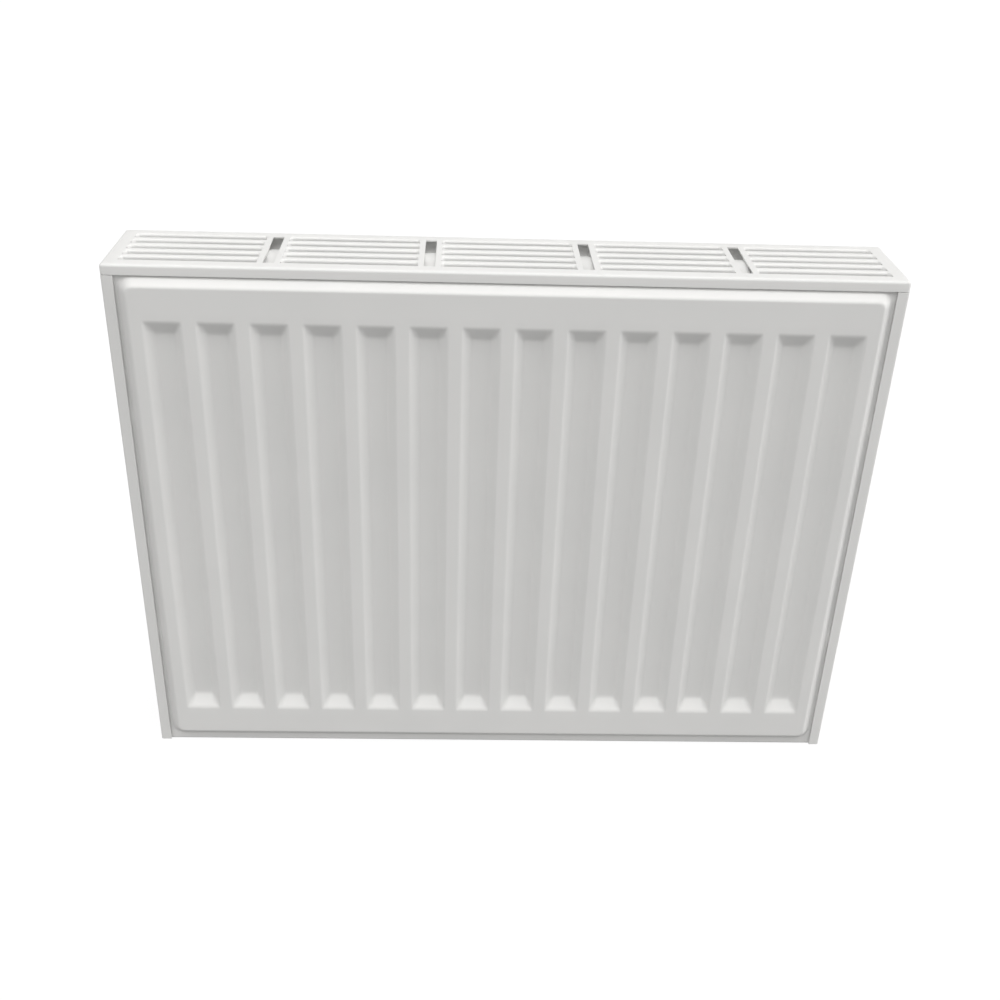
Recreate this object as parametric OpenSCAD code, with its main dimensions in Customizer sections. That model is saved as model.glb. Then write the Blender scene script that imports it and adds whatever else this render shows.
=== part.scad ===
// Compact panel radiator: two pressed water panels, two sets of fins, a lift-off top grille
// and two clip-on side panels. Millimetres, +Z up, X along the length, front face towards -Y.
// The origin is the centre of the outer box at floor level.

/* [Casing] */
// Number of flute pitches along the length
flute_columns = 15; // [12:3:30]
// Distance between neighbouring flutes
flute_pitch = 40; // [39:0.5:50]
// Height from the lower seam to the top of the grille
casing_height = 450; // [300:10:900]
// How far the casing stands past the flute pitches at each end
end_overhang = 2.5; // [1:0.5:5]
// How far the casing's edges stand behind the faces of the panels
casing_setback = 4.5; // [3:0.5:4.5]

/* [Water panels] */
// Depth from the front face to the rear face, without the lugs
panel_depth = 94; // [92:1:120]
// Thickness of a pressed sheet
sheet_t = 1.2; // [1:0.05:1.4]
// Depth of a flute and of the stepped edge
press_depth = 7; // [6.5:0.5:8]
// Width of a flute at its mouth
flute_mouth = 28.6; // [24:0.2:32]
// Width of a flute at its floor
flute_floor = 15; // [10:0.5:18]
// Length of the slope at each end of a flute
flute_end_slope = 11; // [8:0.5:14]
// Distance from the lower seam to the mouth of a flute
flute_margin = 41.2; // [38:0.2:60]
// Width of the flat seam rim all round a panel
rim_width = 7; // [5:0.5:10]
// Width of the slope between the rim and the face
edge_slope = 6.8; // [4:0.2:9]

/* [Convector] */
// Thickness of the fin sheet
fin_t = 0.6; // [0.4:0.1:0.8]
// How far a fin stands behind its panel
fin_depth = 26; // [20:1:27]
// Half width of a fin's foot
fin_foot = 5; // [4:0.2:5.6]
// How far each leg of a fin leans out
fin_lean = 3; // [0:0.5:8]
// Distance from the lower seam to the fins
fin_margin = 53; // [46:1:80]

/* [Connections] */
// Height of the port centres above the lower seam
port_height = 27; // [25:1:32]
// Core radius of the half-inch female thread
port_r = 9.32; // [9.3:0.01:9.4]
// Depth of the thread
port_length = 15; // [12:1:18]
// Outer radius of the side boss
boss_r = 15; // [13:0.5:16]
// Distance of the manifold axes from the end of the casing
port_inset = 38; // [36:1:50]

/* [Top grille] */
// Thickness of the casing sheets
cover_t = 1.2; // [1:0.1:1.5]
// Height of the turned-down edge
flange_h = 8.3; // [6:0.1:12]
// Outer radius of the bends
bend_r = 2.4; // [2:0.1:4]
// Number of slot rows from front to back
slot_rows = 5; // [3:1:5]
// Width of a slot
slot_width = 8.5; // [4:0.5:9]
// Distance between neighbouring slot rows
slot_row_pitch = 13.5; // [12:0.5:15]
// Length of a slot, its narrow ends included
slot_length = 102.5; // [90:0.5:104]
// Length of the narrow end of a slot
slit_length = 5; // [3:0.5:8]
// Width of the narrow end of a slot
slit_width = 2.5; // [2:0.5:4]
// Width of a cross slot
cross_slot = 8.6; // [6:0.2:10]

/* [Side panels] */
// Width of the turned-in lips
lip_width = 9; // [6:0.5:12]
// Radius of the pipe holes
access_r = 17.5; // [16.5:0.5:19]
// Gap between a side panel and the floor
side_clearance = 0.5; // [0.5:0.5:8]

/* [Hanging lugs] */
// How far a lug stands behind the rear panel
lug_standoff = 9; // [7:0.5:14]
// Height of a lug
lug_h = 38; // [30:1:50]
// Inside width of a lug
lug_slot = 25; // [20:1:26]
// Thickness of the lug steel
lug_t = 2; // [1.5:0.5:2.5]

/* [Hidden] */
$fn = 96;
eps = 0.01;
cut = 1;

casing_length = flute_columns * flute_pitch + 2 * end_overhang;
half_length = casing_length / 2;
total_depth = panel_depth + lug_standoff;
// Depths below are counted from the front face, and front_y puts them in the frame.
front_y = -total_depth / 2;
casing_front = casing_setback;
casing_rear = panel_depth - casing_setback;

flute_count = flute_columns - 1;
panel_t = 2 * (press_depth + sheet_t);
grille_rise = 2;
panel_end_gap = 4.1;
panel_h = casing_height - grille_rise;
panel_half = half_length - panel_end_gap;
face_inset = rim_width + edge_slope;
flute_h = panel_h - 2 * flute_margin;
inner_front = panel_t;
inner_rear = panel_depth - panel_t;
mid_depth = panel_depth / 2;
fin_count = flute_columns - 2;

port_x = half_length - port_inset;
port_setback = 16;
port_face_x = half_length - port_setback;
upper_port_height = panel_h - port_height;
pipe_r = 13;
water_r = 8;

group_pitch = 3 * flute_pitch;
slot_groups = flute_columns / 3;
strap_count = slot_groups - 1;
slots_depth = (slot_rows - 1) * slot_row_pitch + slot_width;
first_slot_depth = mid_depth - slots_depth / 2;
slots_end_depth = first_slot_depth + slots_depth;
grille_under = casing_height - cover_t;
louvre_h = 5.5;
louvre_t = 1;

strap_w = 12;
strap_t = 1.5;
strap_leg = 34;
strap_half = (inner_rear - inner_front) / 2;
strap_r = 50;
guide_t = 1.2;
guide_w = 20;
guide_h = 18;
guide_gap = 1;
guide_foot = 2.4;
strap_top_gap = 0.3;
strap_centre_z = grille_under - guide_t - strap_top_gap - strap_r;
strap_shoulder_z = strap_centre_z + sqrt(strap_r * strap_r - strap_half * strap_half);

side_t = 1;
side_top_gap = 0.5;

clip_h = 14;
clip_finger = 2.3;
clip_gap = 0.3;
clip_reach = 7.6;
clip_base = 2;
clip_heights = [panel_h * 0.27, panel_h * 0.73];

lug_x = (flute_columns / 2 - 3) * flute_pitch;
lug_lower_z = 62;
lug_upper_z = panel_h - lug_lower_z - lug_h;
lug_foot = 8;

// Fittings are drawn along +X from the face of their boss.
seal_t = 1.5;
seal_r = 13;
flange_r = 13.5;
flange_t = 3;
hex_r = 12.7;
shank_r = port_r - 0.05;
shank_length = 11;
plug_hex_t = 6;
socket_r = 5.8;
vent_hex_t = 2.5;
neck_r = 7;
neck_length = 5.4;
screw_bore_r = 2.98;
screw_r = 2.92;
screw_square = 5;
screw_head_h = 5.2;
key_socket_r = 4.3;
collar_r = 10.4;
collar_gap = 0.08;
collar_length = 4.8;
spout_reach = 14;
spout_r = 2.1;
spout_bore_r = 1;

vent_neck_x = seal_t + flange_t + vent_hex_t;
key_socket_x = vent_neck_x - 1.2;
collar_x = vent_neck_x + 0.25;
spout_x = collar_x + collar_length / 2;

white_paint = [0.95, 0.95, 0.94];
nickel = [0.78, 0.77, 0.74];
brass = [0.80, 0.66, 0.36];
black_rubber = [0.08, 0.08, 0.08];
white_plastic = [0.92, 0.92, 0.90];

function flute_x(i) = (i - (flute_count - 1) / 2) * flute_pitch;
function strap_x(i) = (i - (strap_count + 1) / 2) * group_pitch;

// ---- Shapes that several pieces share ----

// Puts a child that is drawn with its depth along +Y, counted from the front face, in the frame.
module from_front() {
    translate([0, front_y, 0]) children();
}

// Puts a child that belongs to the front panel on the rear panel, turned to face the other way.
module on_rear_panel() {
    translate([0, panel_depth, 0]) mirror([0, 1, 0]) children();
}

// A box between two depths.
module slab(x0, x1, d0, d1, z0, z1) {
    translate([x0, d0, z0]) cube([x1 - x0, d1 - d0, z1 - z0]);
}

// A block with four sloping sides: half width a0 and end heights z0 at depth d0, changing at
// the given slopes (per unit of depth) to depth d1.
module sloped_block(d0, d1, half_w, z_low, z_high, w_slope, z_slope) {
    run = d1 - d0;
    wide = max(half_w, half_w + w_slope * run) + cut;
    reach = abs(z_slope) * run + cut;
    intersection() {
        translate([0, 0, z_low - reach])
            linear_extrude(z_high - z_low + 2 * reach)
                polygon([
                    [-half_w, d0],
                    [half_w, d0],
                    [half_w + w_slope * run, d1],
                    [-half_w - w_slope * run, d1]
                ]);
        translate([-wide, 0, 0])
            rotate([90, 0, 90])
                linear_extrude(2 * wide)
                    polygon([
                        [d0, z_low],
                        [d0, z_high],
                        [d1, z_high + z_slope * run],
                        [d1, z_low - z_slope * run]
                    ]);
    }
}

// One flute as a solid, from `above` in front of the face down to its floor.
module flute(above) {
    side = (flute_floor - flute_mouth) / 2 / press_depth;
    end = -flute_end_slope / press_depth;
    sloped_block(
        -above, press_depth,
        flute_mouth / 2 - side * above,
        flute_margin + end * above,
        flute_margin + flute_h - end * above,
        side, end
    );
}

module flutes(above) {
    for (i = [0:flute_count - 1]) translate([flute_x(i), 0, 0]) flute(above);
}

// The raised middle of a panel, from the face down to the given depth.
module raised_face(depth) {
    slope = edge_slope / press_depth;
    half_w = panel_half - face_inset;
    sloped_block(0, depth, half_w, face_inset, panel_h - face_inset, slope, slope);
}

// One pressed sheet: flat seam rim, raised face and sunk flutes, all of one thickness.
module pressed_sheet() {
    seam = press_depth + sheet_t;
    difference() {
        union() {
            slab(-panel_half, panel_half, press_depth, seam, 0, panel_h);
            raised_face(press_depth + eps);
        }
        flutes(cut);
        difference() {
            translate([0, sheet_t, 0]) raised_face(press_depth + cut);
            translate([0, sheet_t, 0]) flutes(sheet_t / 2);
        }
    }
}

module port_holes() {
    for (x = [-port_x, port_x])
        for (z = [port_height, upper_port_height])
            translate([x, -cut, z]) rotate([-90, 0, 0]) cylinder(r = water_r, h = panel_t / 2);
}

// ---- Water panels and convector fins ----

module front_panel_outer_sheet() {
    color(white_paint) from_front() pressed_sheet();
}

module front_panel_inner_sheet() {
    color(white_paint) from_front()
        translate([0, panel_t, 0]) mirror([0, 1, 0])
            difference() {
                pressed_sheet();
                port_holes();
            }
}

module rear_panel_inner_sheet() {
    color(white_paint) from_front()
        translate([0, inner_rear, 0])
            difference() {
                pressed_sheet();
                port_holes();
            }
}

module rear_panel_outer_sheet() {
    color(white_paint) from_front() on_rear_panel() pressed_sheet();
}

// A U-shaped fin, open towards the middle of the radiator.
module fin() {
    outside = [
        [-fin_foot, 0],
        [fin_foot, 0],
        [fin_foot + fin_lean, fin_depth],
        [fin_foot + fin_lean - fin_t, fin_depth],
        [fin_foot - fin_t, fin_t],
        [-fin_foot + fin_t, fin_t],
        [-fin_foot - fin_lean + fin_t, fin_depth],
        [-fin_foot - fin_lean, fin_depth]
    ];
    linear_extrude(panel_h - 2 * fin_margin) polygon(outside);
}

// One fin welded to each water channel of a panel.
module fin_row() {
    for (i = [1:fin_count])
        translate([(i - (fin_count + 1) / 2) * flute_pitch, inner_front, fin_margin]) fin();
}

module convector_fins() {
    color(white_paint) from_front() {
        fin_row();
        on_rear_panel() fin_row();
    }
}

// ---- Corner tees: each joins both panels and holds one side port ----

module tee(side, z) {
    pipe_length = inner_rear - inner_front;
    color(white_paint) from_front()
        difference() {
            union() {
                translate([side * port_x, inner_front, z])
                    rotate([-90, 0, 0]) cylinder(r = pipe_r, h = pipe_length);
                translate([side * port_x, mid_depth, z])
                    rotate([0, side * 90, 0]) cylinder(r = boss_r, h = port_face_x - port_x);
            }
            translate([side * port_x, inner_front - cut, z])
                rotate([-90, 0, 0]) cylinder(r = water_r, h = pipe_length + 2 * cut);
            translate([side * port_x, mid_depth, z])
                rotate([0, side * 90, 0]) cylinder(r = water_r, h = port_face_x - port_x);
            translate([side * (port_face_x - port_length), mid_depth, z])
                rotate([0, side * 90, 0]) cylinder(r = port_r, h = port_length + cut);
        }
}

// ---- Shallow arched straps that tie the two panels under the cross slots ----

module tie_strap(i) {
    wide = 3 * strap_r;
    color(white_paint) from_front()
        translate([strap_x(i) - strap_w / 2, mid_depth, 0]) {
            translate([0, 0, strap_centre_z])
                rotate([90, 0, 90])
                    linear_extrude(strap_w)
                        difference() {
                            circle(r = strap_r);
                            circle(r = strap_r - strap_t);
                            translate([-wide / 2, -wide]) square([wide, wide]);
                            translate([strap_half, -wide / 2]) square([wide, wide]);
                            translate([-strap_half - wide, -wide / 2]) square([wide, wide]);
                        }
            for (end = [-strap_half, strap_half - strap_t])
                translate([0, end, strap_shoulder_z - strap_leg])
                    cube([strap_w, strap_t, strap_leg]);
        }
}

// ---- Hanging lugs: a folded strap with two feet, closed at the end that carries the load ----

module lug(x, z, closed_at_top) {
    inside = lug_slot / 2;
    outside = inside + lug_t;
    slot_low = closed_at_top ? z - cut : z + lug_t;
    slot_high = closed_at_top ? z + lug_h - lug_t : z + lug_h + cut;
    color(white_paint) from_front()
        translate([x, 0, 0]) {
            difference() {
                slab(-outside, outside, panel_depth, total_depth, z, z + lug_h);
                slab(-inside, inside, panel_depth - cut, total_depth - lug_t, slot_low, slot_high);
            }
            for (side = [-1, 1])
                translate([side > 0 ? outside - eps : -outside - lug_foot + eps, panel_depth, z])
                    cube([lug_foot, lug_t, lug_h]);
        }
}

// ---- Fittings in the upper ports ----

// Puts a child that is drawn along +X at the face of an upper port.
module at_upper_port(side) {
    from_front()
        translate([side * port_face_x, mid_depth, upper_port_height])
            rotate([0, 0, side > 0 ? 0 : 180]) children();
}

// A disc or a bar along +X.
module along_x(x, r, h) {
    translate([x, 0, 0]) rotate([0, 90, 0]) cylinder(r = r, h = h);
}

module hexagon(x, r, h) {
    translate([x, 0, 0]) rotate([0, 90, 0]) cylinder(r = r, h = h, $fn = 6);
}

module seal_ring() {
    difference() {
        along_x(0, seal_r, seal_t);
        along_x(-cut, port_r + 0.4, seal_t + 2 * cut);
    }
}

module blanking_plug() {
    color(nickel) at_upper_port(-1)
        difference() {
            union() {
                along_x(-shank_length, shank_r, shank_length + seal_t + eps);
                along_x(seal_t, flange_r, flange_t);
                hexagon(seal_t + flange_t - eps, hex_r, plug_hex_t);
            }
            hexagon(seal_t + flange_t - 1, socket_r, plug_hex_t + 2);
            along_x(-shank_length - cut, port_r - 3, shank_length);
        }
}

module blanking_plug_seal() {
    color(black_rubber) at_upper_port(-1) seal_ring();
}

module vent_plug() {
    color(nickel) at_upper_port(1)
        difference() {
            union() {
                along_x(-shank_length, shank_r, shank_length + seal_t + eps);
                along_x(seal_t, flange_r, flange_t);
                hexagon(seal_t + flange_t - eps, hex_r, vent_hex_t);
                along_x(vent_neck_x - cut, neck_r, neck_length + cut);
            }
            along_x(-shank_length - cut, screw_bore_r, 2 * shank_length + vent_neck_x);
            along_x(key_socket_x, key_socket_r, neck_length + 2 * cut + 1);
            translate([spout_x, 0, -neck_r - cut]) cylinder(r = spout_bore_r, h = neck_r);
        }
}

module vent_plug_seal() {
    color(black_rubber) at_upper_port(1) seal_ring();
}

module vent_spout_collar() {
    color(white_plastic) at_upper_port(1)
        difference() {
            union() {
                along_x(collar_x, collar_r, collar_length);
                translate([spout_x, 0, -spout_reach]) cylinder(r = spout_r, h = spout_reach);
            }
            along_x(collar_x - cut, neck_r + collar_gap, collar_length + 2 * cut);
            translate([spout_x, 0, -spout_reach - cut]) cylinder(r = spout_bore_r, h = spout_reach);
        }
}

module bleed_screw() {
    tip = 2;
    head_x = key_socket_x + 0.3;
    color(brass) at_upper_port(1) {
        along_x(-shank_length + tip, screw_r, head_x + shank_length - tip + eps);
        translate([-shank_length, 0, 0])
            rotate([0, 90, 0]) cylinder(r1 = screw_r / 2, r2 = screw_r, h = tip + eps);
        translate([head_x, -screw_square / 2, -screw_square / 2])
            cube([screw_head_h, screw_square, screw_square]);
    }
}

// ---- Top grille ----

// The outline of a folded cover in depth and height, with both upper bends rounded.
module folded_outline(inset, r) {
    low = casing_height - flange_h;
    top = casing_height - inset;
    front = casing_front + inset;
    rear = casing_rear - inset;
    foot = inset > 0 ? cut : 0;
    union() {
        translate([front, low - foot]) square([rear - front, top - r - low + foot]);
        translate([front + r, low]) square([rear - front - 2 * r, top - low]);
        for (d = [front + r, rear - r]) translate([d, top - r]) circle(r = r);
    }
}

module folded_cover() {
    rotate([90, 0, 90])
        translate([0, 0, -half_length])
            linear_extrude(casing_length) folded_outline(0, bend_r);
}

module cover_hollow() {
    rotate([90, 0, 90])
        translate([0, 0, -half_length + cover_t])
            linear_extrude(casing_length - 2 * cover_t)
                folded_outline(cover_t, bend_r - cover_t);
}

// One slot: wide in the middle, with a narrow slit along its front edge at both ends.
module slot_cut(x, d) {
    half_slot = slot_length / 2;
    half_wide = half_slot - slit_length;
    z0 = grille_under - cut;
    z1 = casing_height + cut;
    slab(x - half_wide, x + half_wide, d, d + slot_width, z0, z1);
    slab(x - half_slot, x + half_slot, d, d + slit_width, z0, z1);
}

// The turned-down front edge of the slat behind a slot.
module louvre_lip(x, d) {
    half_wide = slot_length / 2 - slit_length;
    slab(x - half_wide, x + half_wide, d, d + louvre_t, grille_under - louvre_h, grille_under + eps);
}

// L-shaped guides, welded under the bars beside a cross slot, that straddle a tie strap.
module guide(side) {
    leg_x = strap_w / 2 + guide_gap;
    mirror([side > 0 ? 0 : 1, 0, 0]) {
        slab(
            leg_x, leg_x + guide_t,
            mid_depth - guide_w / 2, mid_depth + guide_w / 2,
            grille_under - guide_h, grille_under
        );
        slab(
            leg_x - guide_foot, leg_x + eps,
            mid_depth - guide_w / 2, mid_depth + guide_w / 2,
            grille_under - guide_t, grille_under
        );
    }
}

module grille_guides() {
    color(white_paint) from_front()
        for (i = [1:strap_count], side = [-1, 1])
            translate([strap_x(i), 0, 0]) guide(side);
}

module top_grille() {
    color(white_paint) from_front() {
        difference() {
            folded_cover();
            cover_hollow();
            for (g = [0:slot_groups - 1], row = [0:slot_rows - 1])
                slot_cut(
                    (g - (slot_groups - 1) / 2) * group_pitch,
                    first_slot_depth + row * slot_row_pitch
                );
            for (i = [1:strap_count])
                slab(
                    strap_x(i) - cross_slot / 2, strap_x(i) + cross_slot / 2,
                    first_slot_depth, slots_end_depth,
                    grille_under - cut, casing_height + cut
                );
        }
        for (g = [0:slot_groups - 1], row = [0:slot_rows - 1])
            louvre_lip(
                (g - (slot_groups - 1) / 2) * group_pitch,
                first_slot_depth + row * slot_row_pitch + slot_width
            );
    }
}

// ---- Side panels and their clips ----

module side_panel(side) {
    low = side_clearance;
    high = casing_height - flange_h - side_top_gap;
    color(white_paint) from_front()
        mirror([side > 0 ? 0 : 1, 0, 0])
            difference() {
                slab(half_length - lip_width, half_length, casing_front, casing_rear, low, high);
                slab(
                    half_length - lip_width - cut, half_length - side_t,
                    casing_front + side_t, casing_rear - side_t, low - cut, high + cut
                );
                for (z = [port_height, upper_port_height])
                    translate([half_length - 2 * lip_width, mid_depth, z])
                        rotate([0, 90, 0]) cylinder(r = access_r, h = 3 * lip_width);
            }
}

// A plastic clip that holds the seam rim of the front panel. Its outer finger fills the room
// between the rim and the side panel's lip.
module side_clip(z) {
    plate_inside = half_length - side_t;
    finger_tip = plate_inside - clip_reach;
    rim_back = press_depth + 2 * sheet_t;
    difference() {
        slab(
            finger_tip, plate_inside,
            casing_front + side_t, rim_back + clip_gap + clip_finger,
            z - clip_h / 2, z + clip_h / 2
        );
        slab(
            finger_tip - cut, plate_inside - clip_base,
            press_depth - clip_gap, rim_back + clip_gap,
            z - clip_h, z + clip_h
        );
    }
}

module side_clips(side) {
    color(white_plastic) from_front()
        mirror([side > 0 ? 0 : 1, 0, 0])
            for (z = clip_heights) {
                side_clip(z);
                on_rear_panel() side_clip(z);
            }
}

front_panel_outer_sheet();
front_panel_inner_sheet();
rear_panel_inner_sheet();
rear_panel_outer_sheet();
convector_fins();
tee(-1, port_height);  // tee_bottom_left
tee(1, port_height);  // tee_bottom_right
tee(-1, upper_port_height);  // tee_top_left
tee(1, upper_port_height);  // tee_top_right
for (i = [1:strap_count]) tie_strap(i);
lug(-lug_x, lug_upper_z, true);  // lug_upper_left
lug(lug_x, lug_upper_z, true);  // lug_upper_right
lug(-lug_x, lug_lower_z, false);  // lug_lower_left
lug(lug_x, lug_lower_z, false);  // lug_lower_right
blanking_plug();
blanking_plug_seal();
vent_plug();
vent_plug_seal();
vent_spout_collar();
bleed_screw();
top_grille();
grille_guides();
side_panel(-1);  // side_panel_left
side_clips(-1);  // side_clips_left
side_panel(1);  // side_panel_right
side_clips(1);  // side_clips_right
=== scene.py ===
import math

import bmesh
import bpy
import numpy as np
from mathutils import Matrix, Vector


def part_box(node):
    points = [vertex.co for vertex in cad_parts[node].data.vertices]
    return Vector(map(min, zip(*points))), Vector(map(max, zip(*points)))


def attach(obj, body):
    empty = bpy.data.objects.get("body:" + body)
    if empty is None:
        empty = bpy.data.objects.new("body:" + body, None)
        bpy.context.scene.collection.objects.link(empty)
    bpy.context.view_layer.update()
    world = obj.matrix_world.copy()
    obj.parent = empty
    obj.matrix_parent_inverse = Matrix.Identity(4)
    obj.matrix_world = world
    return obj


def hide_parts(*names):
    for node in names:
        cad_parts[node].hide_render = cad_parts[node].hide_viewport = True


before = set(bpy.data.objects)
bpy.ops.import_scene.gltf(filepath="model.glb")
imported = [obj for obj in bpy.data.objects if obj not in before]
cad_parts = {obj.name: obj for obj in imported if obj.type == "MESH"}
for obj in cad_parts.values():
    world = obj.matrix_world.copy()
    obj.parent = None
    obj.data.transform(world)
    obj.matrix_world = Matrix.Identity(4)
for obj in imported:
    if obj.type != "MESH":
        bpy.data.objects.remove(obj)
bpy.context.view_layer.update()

# Lengths inside the functions are millimetres, counted in the row frame from a CAD node's box.
MM = 0.001
scene = bpy.context.scene


# ---- Camera ----

CAMERA_PLACE = (-0.03701, -0.92458, 0.75287)
CAMERA_TURN = (60.501, -1.771, -1.319)
CAMERA_LENS = 44.33


def make_camera():
    data = bpy.data.cameras.new("camera")
    data.sensor_width = 36
    data.lens = CAMERA_LENS
    data.clip_start = 0.01
    data.clip_end = 100
    camera = bpy.data.objects.new("camera", data)
    camera.location = CAMERA_PLACE
    camera.rotation_euler = [math.radians(a) for a in CAMERA_TURN]
    scene.collection.objects.link(camera)
    scene.camera = camera


# ---- Materials ----

class Finish:
    """A node material with one Principled shader, built from short calls."""

    def __init__(self, name, **inputs):
        self.material = bpy.data.materials.new(name)
        self.material.use_nodes = True
        self.nodes = self.material.node_tree.nodes
        self.links = self.material.node_tree.links
        self.shader = self.nodes["Principled BSDF"]
        for key, value in inputs.items():
            self.shader.inputs[key.replace("_", " ")].default_value = value
        self.place = self.nodes.new("ShaderNodeTexCoord").outputs["Object"]
        self.normal = None

    def noise(self, size_mm, detail=2.0, rough=0.5, stretch=(1, 1, 1)):
        """Noise whose features are about size_mm across, stretched along an axis."""
        mapping = self.nodes.new("ShaderNodeMapping")
        mapping.inputs["Scale"].default_value = [1 / s for s in stretch]
        self.links.new(self.place, mapping.inputs["Vector"])
        node = self.nodes.new("ShaderNodeTexNoise")
        node.inputs["Scale"].default_value = 1 / (size_mm * MM)
        node.inputs["Detail"].default_value = detail
        node.inputs["Roughness"].default_value = rough
        self.links.new(mapping.outputs["Vector"], node.inputs["Vector"])
        return node.outputs["Fac"]

    def rings(self, centre, pitch_mm):
        """Turning marks: rings round an axis along X."""
        mapping = self.nodes.new("ShaderNodeMapping")
        mapping.inputs["Location"].default_value = [-c for c in centre]
        self.links.new(self.place, mapping.inputs["Vector"])
        node = self.nodes.new("ShaderNodeTexWave")
        node.wave_type = "RINGS"
        node.rings_direction = "X"
        # The wave repeats every 2 pi / 20 of its scaled coordinate.
        node.inputs["Scale"].default_value = math.tau / 20 / (pitch_mm * MM)
        node.inputs["Distortion"].default_value = 0.4
        node.inputs["Detail"].default_value = 2
        self.links.new(mapping.outputs["Vector"], node.inputs["Vector"])
        return node.outputs["Fac"]

    def spread(self, socket, low, high, inner=0.35, outer=0.65):
        node = self.nodes.new("ShaderNodeMapRange")
        node.inputs["From Min"].default_value = inner
        node.inputs["From Max"].default_value = outer
        node.inputs["To Min"].default_value = low
        node.inputs["To Max"].default_value = high
        self.links.new(socket, node.inputs["Value"])
        return node.outputs["Result"]

    def colours(self, socket, first, second):
        node = self.nodes.new("ShaderNodeValToRGB")
        ramp = node.color_ramp
        ramp.elements[0].position, ramp.elements[1].position = 0.35, 0.65
        ramp.elements[0].color = (*first, 1)
        ramp.elements[1].color = (*second, 1)
        self.links.new(socket, node.inputs["Fac"])
        self.links.new(node.outputs["Color"], self.shader.inputs["Base Color"])

    def roughness(self, socket, low, high):
        self.links.new(self.spread(socket, low, high), self.shader.inputs["Roughness"])

    def bump(self, socket, height_mm, strength=1.0):
        node = self.nodes.new("ShaderNodeBump")
        node.inputs["Strength"].default_value = strength
        node.inputs["Distance"].default_value = height_mm * MM
        self.links.new(socket, node.inputs["Height"])
        if self.normal:
            self.links.new(self.normal, node.inputs["Normal"])
        self.normal = node.outputs["Normal"]
        self.links.new(self.normal, self.shader.inputs["Normal"])


def make_finishes():
    made = {}
    enamel = Finish("white_enamel", Specular_IOR_Level=0.5, IOR=1.5)
    enamel.colours(enamel.noise(60, 3), (0.795, 0.795, 0.787), (0.812, 0.811, 0.802))
    enamel.roughness(enamel.noise(9, 3), 0.36, 0.45)
    enamel.bump(enamel.noise(22, 1.5), 0.05)
    enamel.bump(enamel.noise(1.3, 2), 0.006)
    made["white_enamel"] = enamel.material

    inside = Finish("white_enamel_inside", Specular_IOR_Level=0.45)
    inside.colours(inside.noise(30, 3), (0.76, 0.76, 0.75), (0.80, 0.80, 0.79))
    inside.roughness(inside.noise(6, 3), 0.44, 0.58)
    inside.bump(inside.noise(1.1, 3), 0.012)
    made["white_enamel_inside"] = inside.material

    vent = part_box("vent_plug")
    axis = (vent[0] + vent[1]) / 2
    for name, first, second, low, high in (
        ("nickel", (0.60, 0.58, 0.54), (0.70, 0.68, 0.64), 0.20, 0.34),
        ("brass", (0.70, 0.50, 0.20), (0.80, 0.60, 0.28), 0.24, 0.40),
    ):
        metal = Finish(name, Metallic=1.0)
        metal.colours(metal.noise(4, 4), first, second)
        metal.roughness(metal.noise(1.2, 4), low, high)
        metal.bump(metal.rings(axis, 0.35), 0.01, 0.5)
        metal.bump(metal.noise(0.6, 3), 0.008, 0.5)
        made[name] = metal.material

    rubber = Finish("rubber", Specular_IOR_Level=0.35)
    rubber.colours(rubber.noise(3, 4), (0.016, 0.016, 0.017), (0.035, 0.034, 0.034))
    rubber.roughness(rubber.noise(1.5, 3), 0.62, 0.82)
    rubber.bump(rubber.noise(0.4, 3), 0.03)
    made["rubber"] = rubber.material

    plastic = Finish("white_plastic", Specular_IOR_Level=0.45, IOR=1.48)
    plastic.colours(plastic.noise(8, 3), (0.80, 0.80, 0.775), (0.84, 0.84, 0.82))
    plastic.roughness(plastic.noise(2, 3), 0.40, 0.55)
    plastic.bump(plastic.noise(0.5, 2), 0.012)
    made["white_plastic"] = plastic.material
    return made


# ---- Helpers for pieces ----

def new_object(name, verts_mm, faces):
    mesh = bpy.data.meshes.new(name)
    mesh.from_pydata((np.asarray(verts_mm, float) * MM).tolist(), [], faces)
    mesh.validate()
    mesh.update()
    obj = bpy.data.objects.new(name, mesh)
    scene.collection.objects.link(obj)
    return obj


def shade(obj, angle=35):
    obj.data.shade_smooth()
    obj.data.set_sharp_from_angle(angle=math.radians(angle))


def finish_piece(obj, body, material, nodes, angle=35):
    obj.data.materials.clear()
    obj.data.materials.append(finishes[material])
    shade(obj, angle)
    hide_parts(*nodes)
    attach(obj, body)
    return obj


def thicken(obj, thickness_mm):
    mod = obj.modifiers.new("thickness", "SOLIDIFY")
    mod.thickness = thickness_mm * MM
    mod.offset = -1
    mod.use_even_offset = True
    mod.use_quality_normals = True


def soften(obj, width_mm, segments=2, angle=35):
    mod = obj.modifiers.new("edges", "BEVEL")
    mod.width = width_mm * MM
    mod.segments = segments
    mod.limit_method = "ANGLE"
    mod.angle_limit = math.radians(angle)
    mod.use_clamp_overlap = True
    mod.harden_normals = True


def applied(obj):
    """The same object with its modifiers turned into mesh."""
    graph = bpy.context.evaluated_depsgraph_get()
    mesh = bpy.data.meshes.new_from_object(obj.evaluated_get(graph))
    obj.modifiers.clear()
    old, obj.data = obj.data, mesh
    bpy.data.meshes.remove(old)
    return obj


def combine(obj, other, operation):
    """A boolean with another closed object, which is then removed."""
    mod = obj.modifiers.new("boolean", "BOOLEAN")
    mod.solver = "EXACT"
    mod.operation = operation
    mod.object = other
    applied(obj)
    bpy.data.objects.remove(other)
    return obj


def box_mm(node):
    low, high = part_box(node)
    return np.array(low) / MM, np.array(high) / MM


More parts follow.
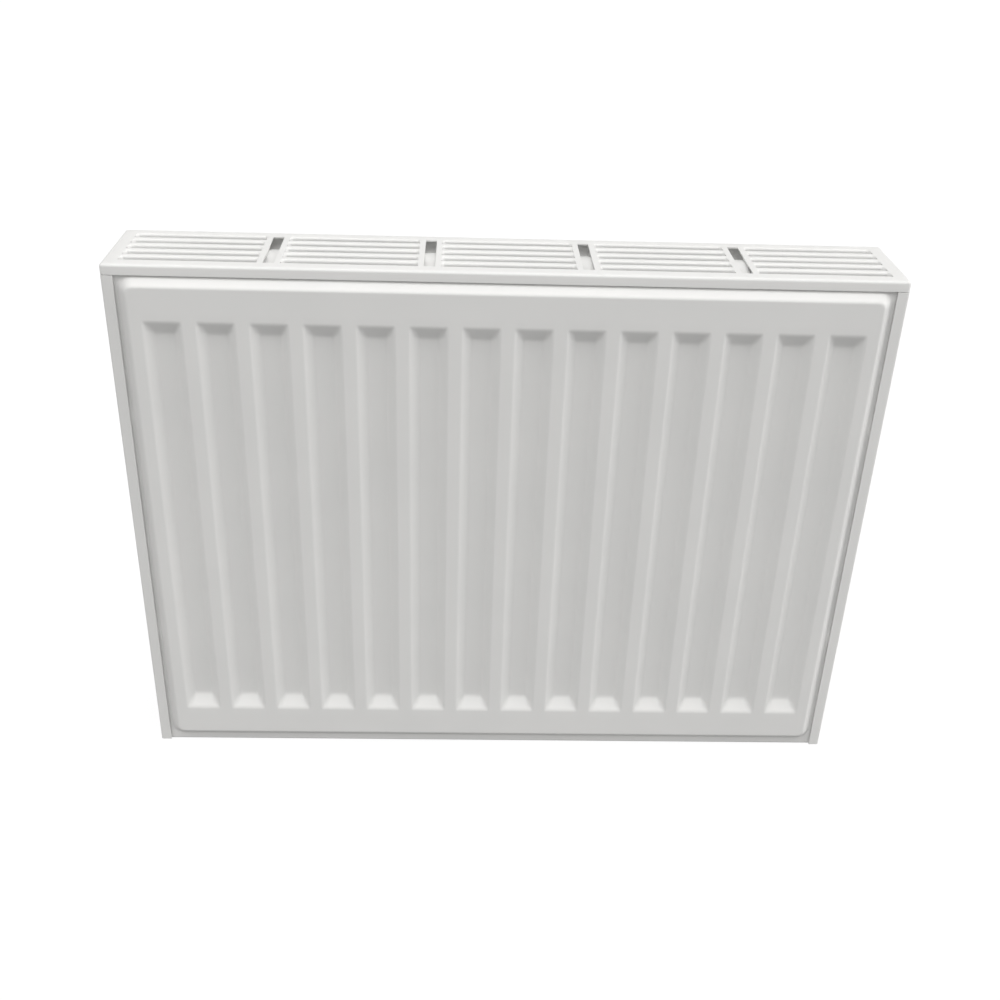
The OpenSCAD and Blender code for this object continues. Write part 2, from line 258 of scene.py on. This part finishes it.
def grid_faces(rows, columns, closed=False):
    """Quads of a grid of rows x columns vertices, the columns joined up if closed."""
    span = columns if closed else columns - 1
    return [
        (r * columns + c, r * columns + (c + 1) % columns,
         (r + 1) * columns + (c + 1) % columns, (r + 1) * columns + c)
        for r in range(rows - 1) for c in range(span)
    ]


def outward(obj):
    """Makes the faces of a closed mesh point outwards."""
    work = bmesh.new()
    work.from_mesh(obj.data)
    bmesh.ops.remove_doubles(work, verts=work.verts, dist=1e-7)
    bmesh.ops.recalc_face_normals(work, faces=work.faces)
    work.to_mesh(obj.data)
    work.free()
    return obj


def face_towards(obj, axis, sign):
    """Makes the faces of an open sheet agree, the largest one pointing to sign along the axis."""
    work = bmesh.new()
    work.from_mesh(obj.data)
    loose = [v for v in work.verts if not v.link_faces]
    bmesh.ops.delete(work, geom=loose, context="VERTS")
    bmesh.ops.recalc_face_normals(work, faces=work.faces)
    work.faces.ensure_lookup_table()
    if max(work.faces, key=lambda f: f.calc_area()).normal[axis] * sign < 0:
        bmesh.ops.reverse_faces(work, faces=work.faces)
    work.to_mesh(obj.data)
    work.free()
    return obj


AXES = {"X": (0, 1, 2), "Y": (1, 2, 0), "Z": (2, 0, 1)}


def lathe(name, profile, centre, axis, sign=1, count=64):
    """A closed solid turned round an axis. The profile is (distance along it, radius), and a
    radius may be a function of the angle. It starts and ends on the axis."""
    main, side, up = AXES[axis]
    turn = np.arange(count) * math.tau / count
    verts = []
    for along, radius in profile:
        r = radius(turn) if callable(radius) else np.full(count, float(radius))
        ring = np.zeros((count, 3))
        ring[:, main] = centre[main] + sign * along
        ring[:, side] = centre[side] + r * np.cos(turn)
        ring[:, up] = centre[up] + r * np.sin(turn)
        verts.append(ring)
    faces = grid_faces(len(profile), count, closed=True)
    first, last = 0, (len(profile) - 1) * count
    faces.append(tuple(range(first, first + count)))
    faces.append(tuple(range(last, last + count)))
    return outward(new_object(name, np.concatenate(verts), faces))


def rounded_path(points, radius, steps=5):
    """A polyline with its inner corners turned into arcs."""
    points = [np.array(p, float) for p in points]
    radii = radius if isinstance(radius, (list, tuple)) else [radius] * (len(points) - 2)
    path = [points[0]]
    for before, corner, after, r in zip(points, points[1:-1], points[2:], radii):
        a = (before - corner) / np.linalg.norm(before - corner)
        b = (after - corner) / np.linalg.norm(after - corner)
        half = math.acos(np.clip(a @ b, -1, 1)) / 2
        reach = r / math.tan(half)
        middle = (a + b) / np.linalg.norm(a + b)
        centre = corner + middle * r / math.sin(half)
        start, end = corner + a * reach - centre, corner + b * reach - centre
        sweep = math.pi - 2 * half
        for i in range(steps + 1):
            t = i / steps
            path.append(
                centre + (math.sin((1 - t) * sweep) * start + math.sin(t * sweep) * end)
                / math.sin(sweep)
            )
    path.append(points[-1])
    return np.array(path)


def band(path, thickness):
    """The closed outline of a strip of sheet: a path, and the same path moved to its left."""
    step = np.diff(path, axis=0)
    step /= np.linalg.norm(step, axis=1)[:, None]
    left = np.stack([-step[:, 1], step[:, 0]], 1)
    first = np.concatenate([left[:1], left])
    second = np.concatenate([left, left[-1:]])
    normal = first + second
    normal /= np.linalg.norm(normal, axis=1)[:, None]
    normal /= np.sum(normal * second, 1)[:, None]
    return np.concatenate([path, (path + normal * thickness)[::-1]])


def extrude(outline, stations, place):
    """Vertices and faces of a strip's outline drawn along stations. place(a, b, s) gives x, y, z.
    The outline is a band, so its end caps are quads from one side to the other."""
    n = len(outline)
    verts = [place(a, b, s) for s in stations for a, b in outline]
    faces = grid_faces(len(stations), n, closed=True)
    for base in (0, (len(stations) - 1) * n):
        faces += [(base + i, base + i + 1, base + n - 2 - i, base + n - 1 - i)
                  for i in range(n // 2 - 1)]
    return verts, faces


def merged(parts):
    verts, faces = [], []
    for v, f in parts:
        base = len(verts)
        verts += v
        faces += [tuple(base + i for i in face) for face in f]
    return verts, faces


# ---- Pressed sheets ----

PITCH = 40.0
FLUTES = 14
SHEET = 1.2
DEPTH = 7.0
RIM = 7.0
SLOPE = 6.8
MOUTH_HALF, FLOOR_HALF = 14.3, 7.5
MARGIN, END_SLOPE = 41.2, 11.0
FILLET = 1.3
FACE_CORNER = 5.0
SHEET_LIP = 0.3


def soft_min(a, b, k):
    h = np.maximum(k - np.abs(a - b), 0) / k
    return np.minimum(a, b) - h * h * k / 4


def soft_max(a, b, k):
    return -soft_min(-a, -b, k)


def pressed_depth(x, z, half, height):
    """How far the sheet lies behind its face at x from the middle and z above the seam."""
    corner = FACE_CORNER
    inset = RIM + SLOPE
    qx = np.abs(x) - (half - inset - corner)
    qz = np.abs(z - height / 2) - (height / 2 - inset - corner)
    outside = np.hypot(np.maximum(qx, 0), np.maximum(qz, 0)) - corner
    edge = (outside + np.minimum(np.maximum(qx, qz), 0)) * DEPTH / SLOPE

    index = np.clip(np.round(x / PITCH + (FLUTES - 1) / 2), 0, FLUTES - 1)
    off = np.abs(x - (index - (FLUTES - 1) / 2) * PITCH)
    wall = (MOUTH_HALF - off) / (MOUTH_HALF - FLOOR_HALF) * DEPTH
    ends = (height / 2 - MARGIN - np.abs(z - height / 2)) / END_SLOPE * DEPTH
    ramp = np.maximum(edge, soft_min(wall, ends, 2.0))
    return soft_max(soft_min(ramp, DEPTH, FILLET), 0 * ramp, FILLET)


def near(centre, reach, count):
    return list(np.linspace(centre - reach, centre + reach, count))


def sheet_lines(half, height, fine):
    """Where the grid's lines lie: close together on the bends, and far apart on the flats.
    The plain numbers only divide the flats between two bends, so they shape nothing."""
    n = 7 if fine else 4
    side = [0, 3.5] + near(FLOOR_HALF, FILLET, n) + [10, 11.8]
    side += near(MOUTH_HALF, FILLET, n) + [17.5]
    x = {0.0}
    for i in range(FLUTES):
        c = (i - (FLUTES - 1) / 2) * PITCH
        for s in side:
            x |= {round(c - s, 4), round(c + s, 4)}
    edge = [0, 0.3, 2, 4]
    edge += near(RIM, FILLET, n) + [10.1] + near(RIM + SLOPE, FILLET, n) + [16, 18, 19.6]
    for s in edge:
        x |= {round(half - s, 4), round(s - half, 4)}
    reach = FILLET * END_SLOPE / DEPTH
    end = near(MARGIN, reach, n) + [44, 46.5] + near(MARGIN + END_SLOPE, reach, n) + [57, 64]
    z = set()
    for s in edge + [27, 34] + end:
        z |= {round(s, 4), round(height - s, 4)}
    z |= {round(v, 4) for v in np.linspace(80, height - 80, 9)}
    return np.array(sorted(x)), np.array(sorted(z))


def round_corners(x, z, half, height, radius=4.0):
    """Draws the corners of a grid onto arcs."""
    a = np.abs(x) - (half - radius)
    b = np.abs(z - height / 2) - (height / 2 - radius)
    inside = (a > 0) & (b > 0)
    a, b = np.where(inside, a, 1), np.where(inside, b, 1)
    scale = np.maximum(a, b) / np.hypot(a, b)
    x2 = np.sign(x) * (half - radius + a * scale)
    z2 = height / 2 + np.sign(z - height / 2) * (height / 2 - radius + b * scale)
    return np.where(inside, x2, x), np.where(inside, z2, z)


def pressed_sheet(node, inward, fine, material):
    """One sheet. inward is the way from its face to the seam, along Y."""
    low, high = box_mm(node)
    half, height = (high[0] - low[0]) / 2, high[2] - low[2]
    xs, zs = sheet_lines(half, height, fine)
    x, z = np.meshgrid(xs, zs)
    border = np.zeros(x.shape, bool)
    border[0], border[-1], border[:, 0], border[:, -1] = True, True, True, True
    depth = pressed_depth(x, z, half, height)
    x, z = round_corners(x, z, half, height)
    face_y = low[1] if inward > 0 else high[1]
    verts = []
    for offset in (np.where(border, SHEET_LIP, 0), np.where(border, SHEET - SHEET_LIP, SHEET)):
        y = face_y + inward * (depth + offset)
        verts.append(np.stack([x, y, z + low[2]], -1).reshape(-1, 3))
    rows, columns = x.shape
    faces = grid_faces(rows, columns)
    count = rows * columns
    faces += [tuple(i + count for i in reversed(f)) for f in faces]
    loop = list(range(columns))
    loop += [r * columns + columns - 1 for r in range(1, rows)]
    loop += [(rows - 1) * columns + c for c in range(columns - 2, -1, -1)]
    loop += [r * columns for r in range(rows - 2, 0, -1)]
    faces += [(b, a, a + count, b + count) for a, b in zip(loop, loop[1:] + loop[:1])]
    obj = outward(new_object("visual_" + node, np.concatenate(verts), faces))
    return finish_piece(obj, "radiator_core", material, [node], 50)


# ---- Top grille ----

COVER = 1.2
BEND = 2.4
GROUP_PITCH = 120.0
GROUPS = 5
ROWS = 5
ROW_PITCH = 13.5
FIRST_SLOT = 11.25
# A slot runs from the slit to the louvre's front face, and the slat's flat part starts a bend
# radius behind that.
SLOT_WIDTH, SLIT_WIDTH = 8.5, 2.5
LOUVRE_R = 2.0
SLOT_HALF = 51.25
WIDE_HALF = 48.75
CROSS_SLOT = 8.6
LOUVRE_ANGLE = math.radians(88)
LOUVRE_ARC = LOUVRE_R * LOUVRE_ANGLE
LOUVRE_HEIGHT = 5.4
TIP_STEPS = 8
BEVEL_ROOM = 0.08
STRAIGHT = SLOT_WIDTH + LOUVRE_R - SLIT_WIDTH - LOUVRE_ARC
LOUVRE_REST = LOUVRE_HEIGHT - LOUVRE_R


def bent_slat(along, turn):
    """Where a point of a slat's front strip goes: forwards and down, for a bend of turn."""
    turn = max(turn, 1e-6)
    radius = LOUVRE_ARC / turn
    arc = min(along, LOUVRE_ARC)
    angle = arc / radius
    # The part past the bend is drawn in as the strip turns down, to the louvre's height.
    rest = (along - arc) * (1 + turn / LOUVRE_ANGLE * (LOUVRE_REST / STRAIGHT - 1))
    forward = radius * math.sin(angle) + rest * math.cos(turn)
    down = radius * (1 - math.cos(angle)) + rest * math.sin(turn)
    return forward, down


def top_grille():
    low, high = box_mm("top_grille")
    # The bevels round the slits rise a little, so the plate is set just below the box's top.
    depth, half, top = high[1] - low[1], high[0], high[2] - BEVEL_ROOM
    bend_start = SLOT_WIDTH + LOUVRE_R

    xs = {-half + BEND, half - BEND}
    centres = [(g - (GROUPS - 1) / 2) * GROUP_PITCH for g in range(GROUPS)]
    for c in centres:
        tip = [SLOT_HALF - i * (SLOT_HALF - WIDE_HALF) / TIP_STEPS for i in range(TIP_STEPS + 1)]
        # The last two only divide the long flat between the tips.
        for t in tip + [30, 10]:
            xs |= {round(c - t, 4), round(c + t, 4)}
    crosses = [(g - (GROUPS - 2) / 2) * GROUP_PITCH for g in range(GROUPS - 1)]
    for c in crosses:
        xs |= {c - CROSS_SLOT / 2, c + CROSS_SLOT / 2}
    xs = np.array(sorted(xs))

    starts = [FIRST_SLOT + r * ROW_PITCH for r in range(ROWS)]
    ds = {BEND, depth - BEND}
    for s in starts:
        ds |= {round(s, 4)}
        ds |= {round(s + bend_start - LOUVRE_ARC * i / 6, 4) for i in range(7)}
        ds |= {round(s + SLIT_WIDTH + STRAIGHT * i / 3, 4) for i in range(3)}
    ds = np.array(sorted(ds))

    verts = []
    for d in ds:
        row = next((s for s in starts if s + SLIT_WIDTH - 1e-3 <= d < s + bend_start - 1e-3), None)
        for x in xs:
            off = min(abs(x - c) for c in centres)
            y, z = d, 0.0
            if row is not None and off < SLOT_HALF - 1e-3:
                t = min(1.0, (SLOT_HALF - off) / (SLOT_HALF - WIDE_HALF))
                turn = LOUVRE_ANGLE * t * t * (3 - 2 * t)
                forward, down = bent_slat(row + bend_start - d, turn)
                y, z = row + bend_start - forward, -down
            verts.append((x, low[1] + y, top + z))

    columns = len(xs)
    faces = []
    for face in grid_faces(len(ds), columns):
        r, c = divmod(face[0], columns)
        x, d = (xs[c] + xs[c + 1]) / 2, (ds[r] + ds[r + 1]) / 2
        in_slit = any(s < d < s + SLIT_WIDTH for s in starts)
        in_slit &= min(abs(x - g) for g in centres) < SLOT_HALF
        in_cross = starts[0] < d < starts[-1] + SLOT_WIDTH
        in_cross &= min(abs(x - g) for g in crosses) < CROSS_SLOT / 2
        if not (in_slit or in_cross):
            faces.append(face)

    # The bends and the turned-down edge run round the plane, with a fan at each corner.
    rows = len(ds)
    walk = [(c, (0, -1)) for c in range(columns)]
    walk += [(r * columns + columns - 1, (1, 0)) for r in range(rows)]
    walk += [((rows - 1) * columns + c, (0, 1)) for c in range(columns - 1, -1, -1)]
    walk += [(r * columns, (-1, 0)) for r in range(rows - 1, -1, -1)]
    loop = []
    for (i, way), (j, after) in zip(walk, walk[1:] + walk[:1]):
        loop.append((i, way))
        if i == j:
            a0, a1 = math.atan2(way[1], way[0]), math.atan2(after[1], after[0])
            a1 += math.tau if a1 < a0 else 0
            loop += [(i, (math.cos(a0 + (a1 - a0) * k / 5), math.sin(a0 + (a1 - a0) * k / 5)))
                     for k in range(1, 5)]
    bend_steps = 6
    rings = [[i for i, _ in loop]]
    for k in range(1, bend_steps + 2):
        angle = min(k / bend_steps, 1) * math.pi / 2
        drop = BEND * (1 - math.cos(angle)) if k <= bend_steps else top - low[2]
        ring = []
        for i, way in loop:
            x, y, z = verts[i]
            ring.append(len(verts))
            verts.append((x + way[0] * BEND * math.sin(angle),
                          y + way[1] * BEND * math.sin(angle), top - drop))
        rings.append(ring)
    for upper, lower in zip(rings, rings[1:]):
        n = len(upper)
        for k in range(n):
            a, b = upper[k], upper[(k + 1) % n]
            c, d = lower[(k + 1) % n], lower[k]
            faces.append((a, d, c) if a == b else (a, d, c, b))

    obj = face_towards(new_object("visual_top_grille", verts, faces), 2, 1)
    finish_piece(obj, "grille", "white_enamel", ["top_grille"], 50)
    thicken(obj, COVER)
    soften(obj, 0.22)


# ---- Side panels ----

SIDE = 1.0
SIDE_BEND = 1.8
HOLE_R = 17.5
HOLE_EDGE = 1.2
HOLE_FRAME = 19.5
HOLE_STEPS = 12


def side_panel(node, body, sign, port_heights):
    low, high = box_mm(node)
    depth = high[1] - low[1]
    width = high[0] - low[0]
    middle = depth / 2
    bend_steps = 6
    half_steps = HOLE_STEPS / 2
    # Columns run from the front lip round the side to the rear lip: (distance in from the
    # outer face, depth).
    front = [(width, 0.0)]
    for i in range(bend_steps + 1):
        a = i / bend_steps * math.pi / 2
        front.append((SIDE_BEND * (1 - math.sin(a)), SIDE_BEND * (1 - math.cos(a))))
    frame_lines = [middle - HOLE_FRAME + HOLE_FRAME * i / half_steps for i in range(HOLE_STEPS + 1)]
    columns = front + [(0.0, d) for d in frame_lines]
    columns += [(a, depth - b) for a, b in reversed(front)]

    zs = {low[2], high[2]}
    for p in port_heights:
        zs |= {round(p - HOLE_FRAME + HOLE_FRAME * i / half_steps, 4)
               for i in range(HOLE_STEPS + 1)}
    # These only divide the flat between the holes.
    zs |= {round(v, 4) for v in np.linspace(80, 365, 6)}
    zs = sorted(zs)
    outer = high[0] if sign > 0 else low[0]
    verts = [(outer - sign * a, low[1] + d, z) for z in zs for a, d in columns]
    n = len(columns)
    faces = []
    for face in grid_faces(len(zs), n):
        r, c = divmod(face[0], n)
        d = (columns[c][1] + columns[c + 1][1]) / 2
        z = (zs[r] + zs[r + 1]) / 2
        flat = columns[c][0] == 0 and columns[c + 1][0] == 0
        if not (flat and abs(d - middle) < HOLE_FRAME
                and any(abs(z - p) < HOLE_FRAME for p in port_heights)):
            faces.append(face)
    first = len(front)
    for p in port_heights:
        r0 = next(i for i, z in enumerate(zs) if abs(z - (p - HOLE_FRAME)) < 1e-3)
        r1, last = r0 + HOLE_STEPS, first + HOLE_STEPS
        square = [(r0, first + i) for i in range(HOLE_STEPS)]
        square += [(r0 + i, last) for i in range(HOLE_STEPS)]
        square += [(r1, last - i) for i in range(HOLE_STEPS)]
        square += [(r1 - i, first) for i in range(HOLE_STEPS)]
        edge = [r * n + c for r, c in square]
        for radius in (HOLE_R + HOLE_EDGE, HOLE_R):
            ring = []
            for r, c in square:
                d, z = columns[c][1] - middle, zs[r] - p
                scale = radius / math.hypot(d, z)
                ring.append(len(verts))
                verts.append((outer, low[1] + middle + d * scale, p + z * scale))
            for k in range(len(square)):
                after = (k + 1) % len(square)
                faces.append((edge[k], edge[after], ring[after], ring[k]))
            edge = ring
    obj = face_towards(new_object("visual_" + node, verts, faces), 0, sign)
    finish_piece(obj, body, "white_enamel", [node], 50)
    thicken(obj, SIDE)
    soften(obj, 0.2)


# ---- Fins, straps and lugs ----

FIN = 0.6
FINS = 13
FIN_DEPTH = 26.0
FIN_FOOT, FIN_LEAN, FIN_BEND = 5.0, 3.0, 1.6
CUT_EDGE = 0.4


def convector_fins():
    low, high = box_mm("convector_fins")
    # A fin's section: a flat foot on the sheet, and two legs that lean apart.
    open_half = FIN_FOOT + FIN_LEAN
    path = rounded_path(
        [(open_half, FIN_DEPTH), (FIN_FOOT, 0), (-FIN_FOOT, 0), (-open_half, FIN_DEPTH)], FIN_BEND
    )
    outline = band(path, -FIN)
    middle = (low[2] + high[2]) / 2
    stations = [low[2], low[2] + CUT_EDGE, middle, high[2] - CUT_EDGE, high[2]]
    parts = []
    for weld_y, way in ((low[1], 1), (high[1], -1)):
        for i in range(FINS):
            c = (i - (FINS - 1) / 2) * PITCH
            parts.append(extrude(
                outline, stations, lambda a, b, s: (c + a, weld_y + way * b, s)
            ))
    obj = outward(new_object("visual_convector_fins", *merged(parts)))
    finish_piece(obj, "radiator_core", "white_enamel_inside", ["convector_fins"])


STRAP = 1.5
STRAP_R = 50.0
SHOULDER, SHOULDER_R = 3.0, 2.6


def tie_strap(node):
    low, high = box_mm(node)
    half = (high[1] - low[1]) / 2
    centre_y = (high[1] + low[1]) / 2
    crown = high[2]
    reach = math.asin((half - SHOULDER) / STRAP_R)
    # The crown's arc, with a rounded shoulder at each end, and the two legs.
    arc = [(STRAP_R * math.sin(a), crown - STRAP_R + STRAP_R * math.cos(a))
           for a in np.linspace(reach, -reach, 33)]
    shoulder = crown - STRAP_R + math.sqrt(STRAP_R ** 2 - half ** 2)
    right = rounded_path([(half, low[2]), (half, shoulder), arc[0]], SHOULDER_R)
    left = rounded_path([arc[-1], (-half, shoulder), (-half, low[2])], SHOULDER_R)
    outline = band(np.concatenate([right[:-1], arc, left[1:]]), STRAP)
    stations = [low[0], (low[0] + high[0]) / 2, high[0]]
    verts, faces = extrude(outline, stations, lambda a, b, s: (s, centre_y + a, b))
    obj = outward(new_object("visual_" + node, verts, faces))
    finish_piece(obj, "radiator_core", "white_enamel", [node])
    soften(obj, 0.35)


LUG = 2.0
LUG_FOOT = 8.0


def lug(node, closed_at_top):
    low, high = box_mm(node)
    centre = (low[0] + high[0]) / 2
    half, depth = (high[0] - low[0]) / 2, high[1] - low[1]
    leg = half - LUG_FOOT
    path = rounded_path(
        [(half, LUG), (leg, LUG), (leg, depth), (-leg, depth), (-leg, LUG), (-half, LUG)],
        [0.5, 3.0, 3.0, 0.5],
    )
    outline = band(path, LUG)
    stations = np.linspace(low[2], high[2], 3)
    parts = [extrude(outline, stations, lambda a, b, s: (centre + a, low[1] + b, s))]
    cap = rounded_path([(leg - LUG, 0), (leg - LUG, depth - LUG), (LUG - leg, depth - LUG),
                        (LUG - leg, 0)], 1.0)
    z0 = high[2] - LUG if closed_at_top else low[2]
    n = len(cap)
    verts = [(centre + a, low[1] + b, z) for z in (z0, z0 + LUG) for a, b in cap]
    faces = grid_faces(2, n, closed=True) + [tuple(range(n)), tuple(range(n, 2 * n))]
    parts.append((verts, faces))
    obj = outward(new_object("visual_" + node, *merged(parts)))
    finish_piece(obj, "radiator_core", "white_enamel", [node])
    soften(obj, 0.4)


# ---- Corner tees with threaded ports ----

PIPE_R, BOSS_R, WATER_R = 13.0, 15.0, 8.0
PORT_R, PORT_LENGTH = 9.32, 15.0
THREAD_PITCH, THREAD_DEPTH = 1.814, 1.1


def thread_radius(along):
    """The radius of a pipe thread round one turn, at a distance from the port's face."""
    lead_in = max(0.0, 1.6 - along)

    def radius(turn):
        phase = (along / THREAD_PITCH - turn / math.tau) % 1
        # Sloping flanks, cut off flat at the crest and at the root.
        ridge = np.clip(1.15 - np.abs(phase * 2 - 1) * 1.3, 0, 1)
        return np.maximum(PORT_R + THREAD_DEPTH * ridge, PORT_R + lead_in)

    return radius


def tee(node, sign, threaded):
    low, high = box_mm(node)
    z = (low[2] + high[2]) / 2
    middle = (low[1] + high[1]) / 2
    face_x = high[0] if sign > 0 else low[0]
    port_x = low[0] + PIPE_R if sign > 0 else high[0] - PIPE_R
    length = high[1] - low[1]
    bead = [(0, PIPE_R + 1.5), (0.7, PIPE_R + 1.3), (1.4, PIPE_R + 0.7), (2.0, PIPE_R)]
    profile = bead + [(length - a, r) for a, r in reversed(bead)]
    obj = lathe("visual_" + node, profile, (port_x, low[1], z), "Y")
    reach = abs(face_x - port_x)
    boss = lathe("boss", [(0, BOSS_R), (reach - 0.9, BOSS_R), (reach - 0.3, BOSS_R - 0.25),
                          (reach, BOSS_R - 0.9)], (port_x, middle, z), "X", sign)
    combine(obj, boss, "UNION")
    combine(obj, lathe("bore", [(-1, WATER_R), (length + 1, WATER_R)],
                       (port_x, low[1], z), "Y"), "DIFFERENCE")
    combine(obj, lathe("bore", [(0, WATER_R - 0.02), (reach - PORT_LENGTH + 1, WATER_R - 0.02)],
                       (port_x, middle, z), "X", sign), "DIFFERENCE")
    if threaded:
        steps = np.arange(-0.5, PORT_LENGTH + 1e-6, THREAD_PITCH / 8)
        cutter = [(a, thread_radius(a)) for a in steps]
    else:
        cutter = [(-0.5, PORT_R), (PORT_LENGTH, PORT_R)]
    combine(obj, lathe("bore", cutter, (face_x, middle, z), "X", -sign, 72), "DIFFERENCE")
    finish_piece(obj, "radiator_core", "white_enamel_inside", [node], 32)


# ---- CAD nodes that keep their shape ----

def dress(node, material, bevel_mm):
    """A finish and softened edges for a CAD node that is shown as it is."""
    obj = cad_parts[node]
    for slot in obj.material_slots:
        slot.link = "OBJECT"
        slot.material = finishes[material]
    weld = obj.modifiers.new("weld", "WELD")
    weld.merge_threshold = 1e-5
    soften(obj, bevel_mm, angle=40)


# ---- Light and surroundings ----

# Soft light from all round: (azimuth, elevation, sharpness, strength) of each lobe. Azimuth 0 is
# the front and 90 the right-hand end.
LOBES = [
    (0, 0, 0, 0.33),
    (0, 90, 6, 0.8),
    (0, 60, 12, 3.0),
    (-55, 40, 12, 1.0),
    (90, 15, 8, 3.0),
]


def make_world():
    world = bpy.data.worlds.new("studio")
    scene.world = world
    world.use_nodes = True
    nodes, links = world.node_tree.nodes, world.node_tree.links
    nodes.clear()
    place = nodes.new("ShaderNodeTexCoord")
    total = None
    for azimuth, elevation, sharpness, strength in LOBES:
        a, e = math.radians(azimuth), math.radians(elevation)
        dot = nodes.new("ShaderNodeVectorMath")
        dot.operation = "DOT_PRODUCT"
        dot.inputs[1].default_value = (
            math.sin(a) * math.cos(e), -math.cos(a) * math.cos(e), math.sin(e)
        )
        links.new(place.outputs["Generated"], dot.inputs[0])
        facing = nodes.new("ShaderNodeMath")
        facing.operation = "MAXIMUM"
        facing.inputs[1].default_value = 0.0
        links.new(dot.outputs["Value"], facing.inputs[0])
        lobe = nodes.new("ShaderNodeMath")
        lobe.operation = "POWER"
        lobe.inputs[1].default_value = sharpness
        links.new(facing.outputs[0], lobe.inputs[0])
        add = nodes.new("ShaderNodeMath")
        add.operation = "MULTIPLY_ADD"
        add.inputs[1].default_value = strength
        add.inputs[2].default_value = 0.0
        links.new(lobe.outputs[0], add.inputs[0])
        if total:
            links.new(total, add.inputs[2])
        total = add.outputs[0]
    light = nodes.new("ShaderNodeBackground")
    light.inputs["Color"].default_value = (1.0, 0.995, 0.985, 1)
    links.new(total, light.inputs["Strength"])
    white = nodes.new("ShaderNodeBackground")
    white.inputs["Color"].default_value = (1, 1, 1, 1)
    path = nodes.new("ShaderNodeLightPath")
    mix = nodes.new("ShaderNodeMixShader")
    links.new(path.outputs["Is Camera Ray"], mix.inputs["Fac"])
    links.new(light.outputs[0], mix.inputs[1])
    links.new(white.outputs[0], mix.inputs[2])
    out = nodes.new("ShaderNodeOutputWorld")
    links.new(mix.outputs[0], out.inputs["Surface"])


def make_floor():
    size, centre_y, gap = 12000.0, 1000.0, 0.05
    floor_z = box_mm("front_panel_outer_sheet")[0][2] - gap
    near_y, far_y = centre_y - size, centre_y + size
    corners = [(-size, near_y, floor_z), (size, near_y, floor_z),
               (size, far_y, floor_z), (-size, far_y, floor_z)]
    floor = new_object("floor", corners, [(0, 1, 2, 3)])
    material = bpy.data.materials.new("floor")
    material.use_nodes = True
    shader = material.node_tree.nodes["Principled BSDF"]
    shader.inputs["Base Color"].default_value = (0.12, 0.12, 0.12, 1)
    shader.inputs["Roughness"].default_value = 1
    shader.inputs["Specular IOR Level"].default_value = 0
    shader.inputs["Emission Color"].default_value = (1, 1, 1, 1)
    shader.inputs["Emission Strength"].default_value = 0.9
    floor.data.materials.append(material)
    floor.visible_diffuse = False
    floor.visible_glossy = False
    floor.visible_shadow = False


# ---- Build ----

make_camera()
finishes = make_finishes()
make_world()
make_floor()
scene.view_settings.view_transform = "Standard"

pressed_sheet("front_panel_outer_sheet", 1, True, "white_enamel")
pressed_sheet("front_panel_inner_sheet", -1, False, "white_enamel_inside")
pressed_sheet("rear_panel_inner_sheet", 1, False, "white_enamel_inside")
pressed_sheet("rear_panel_outer_sheet", -1, True, "white_enamel")
top_grille()
ports = [(box_mm("tee_" + level + "_left")[0][2] + box_mm("tee_" + level + "_left")[1][2]) / 2
         for level in ("bottom", "top")]
side_panel("side_panel_left", "left_side", -1, ports)
side_panel("side_panel_right", "right_side", 1, ports)
convector_fins()
for i in range(1, GROUPS):
    tie_strap(f"tie_strap_{i}")
for side in ("left", "right"):
    lug("lug_upper_" + side, True)
    lug("lug_lower_" + side, False)
for side, sign in (("left", -1), ("right", 1)):
    tee("tee_bottom_" + side, sign, True)
    tee("tee_top_" + side, sign, False)

for node, material, bevel_mm in (
    ("grille_guides", "white_enamel_inside", 0.2),
    ("side_clips_left", "white_plastic", 0.4),
    ("side_clips_right", "white_plastic", 0.4),
    ("vent_spout_collar", "white_plastic", 0.3),
    ("blanking_plug", "nickel", 0.3),
    ("vent_plug", "nickel", 0.2),
    ("bleed_screw", "brass", 0.25),
    ("blanking_plug_seal", "rubber", 0.3),
    ("vent_plug_seal", "rubber", 0.3),
):
    dress(node, material, bevel_mm)
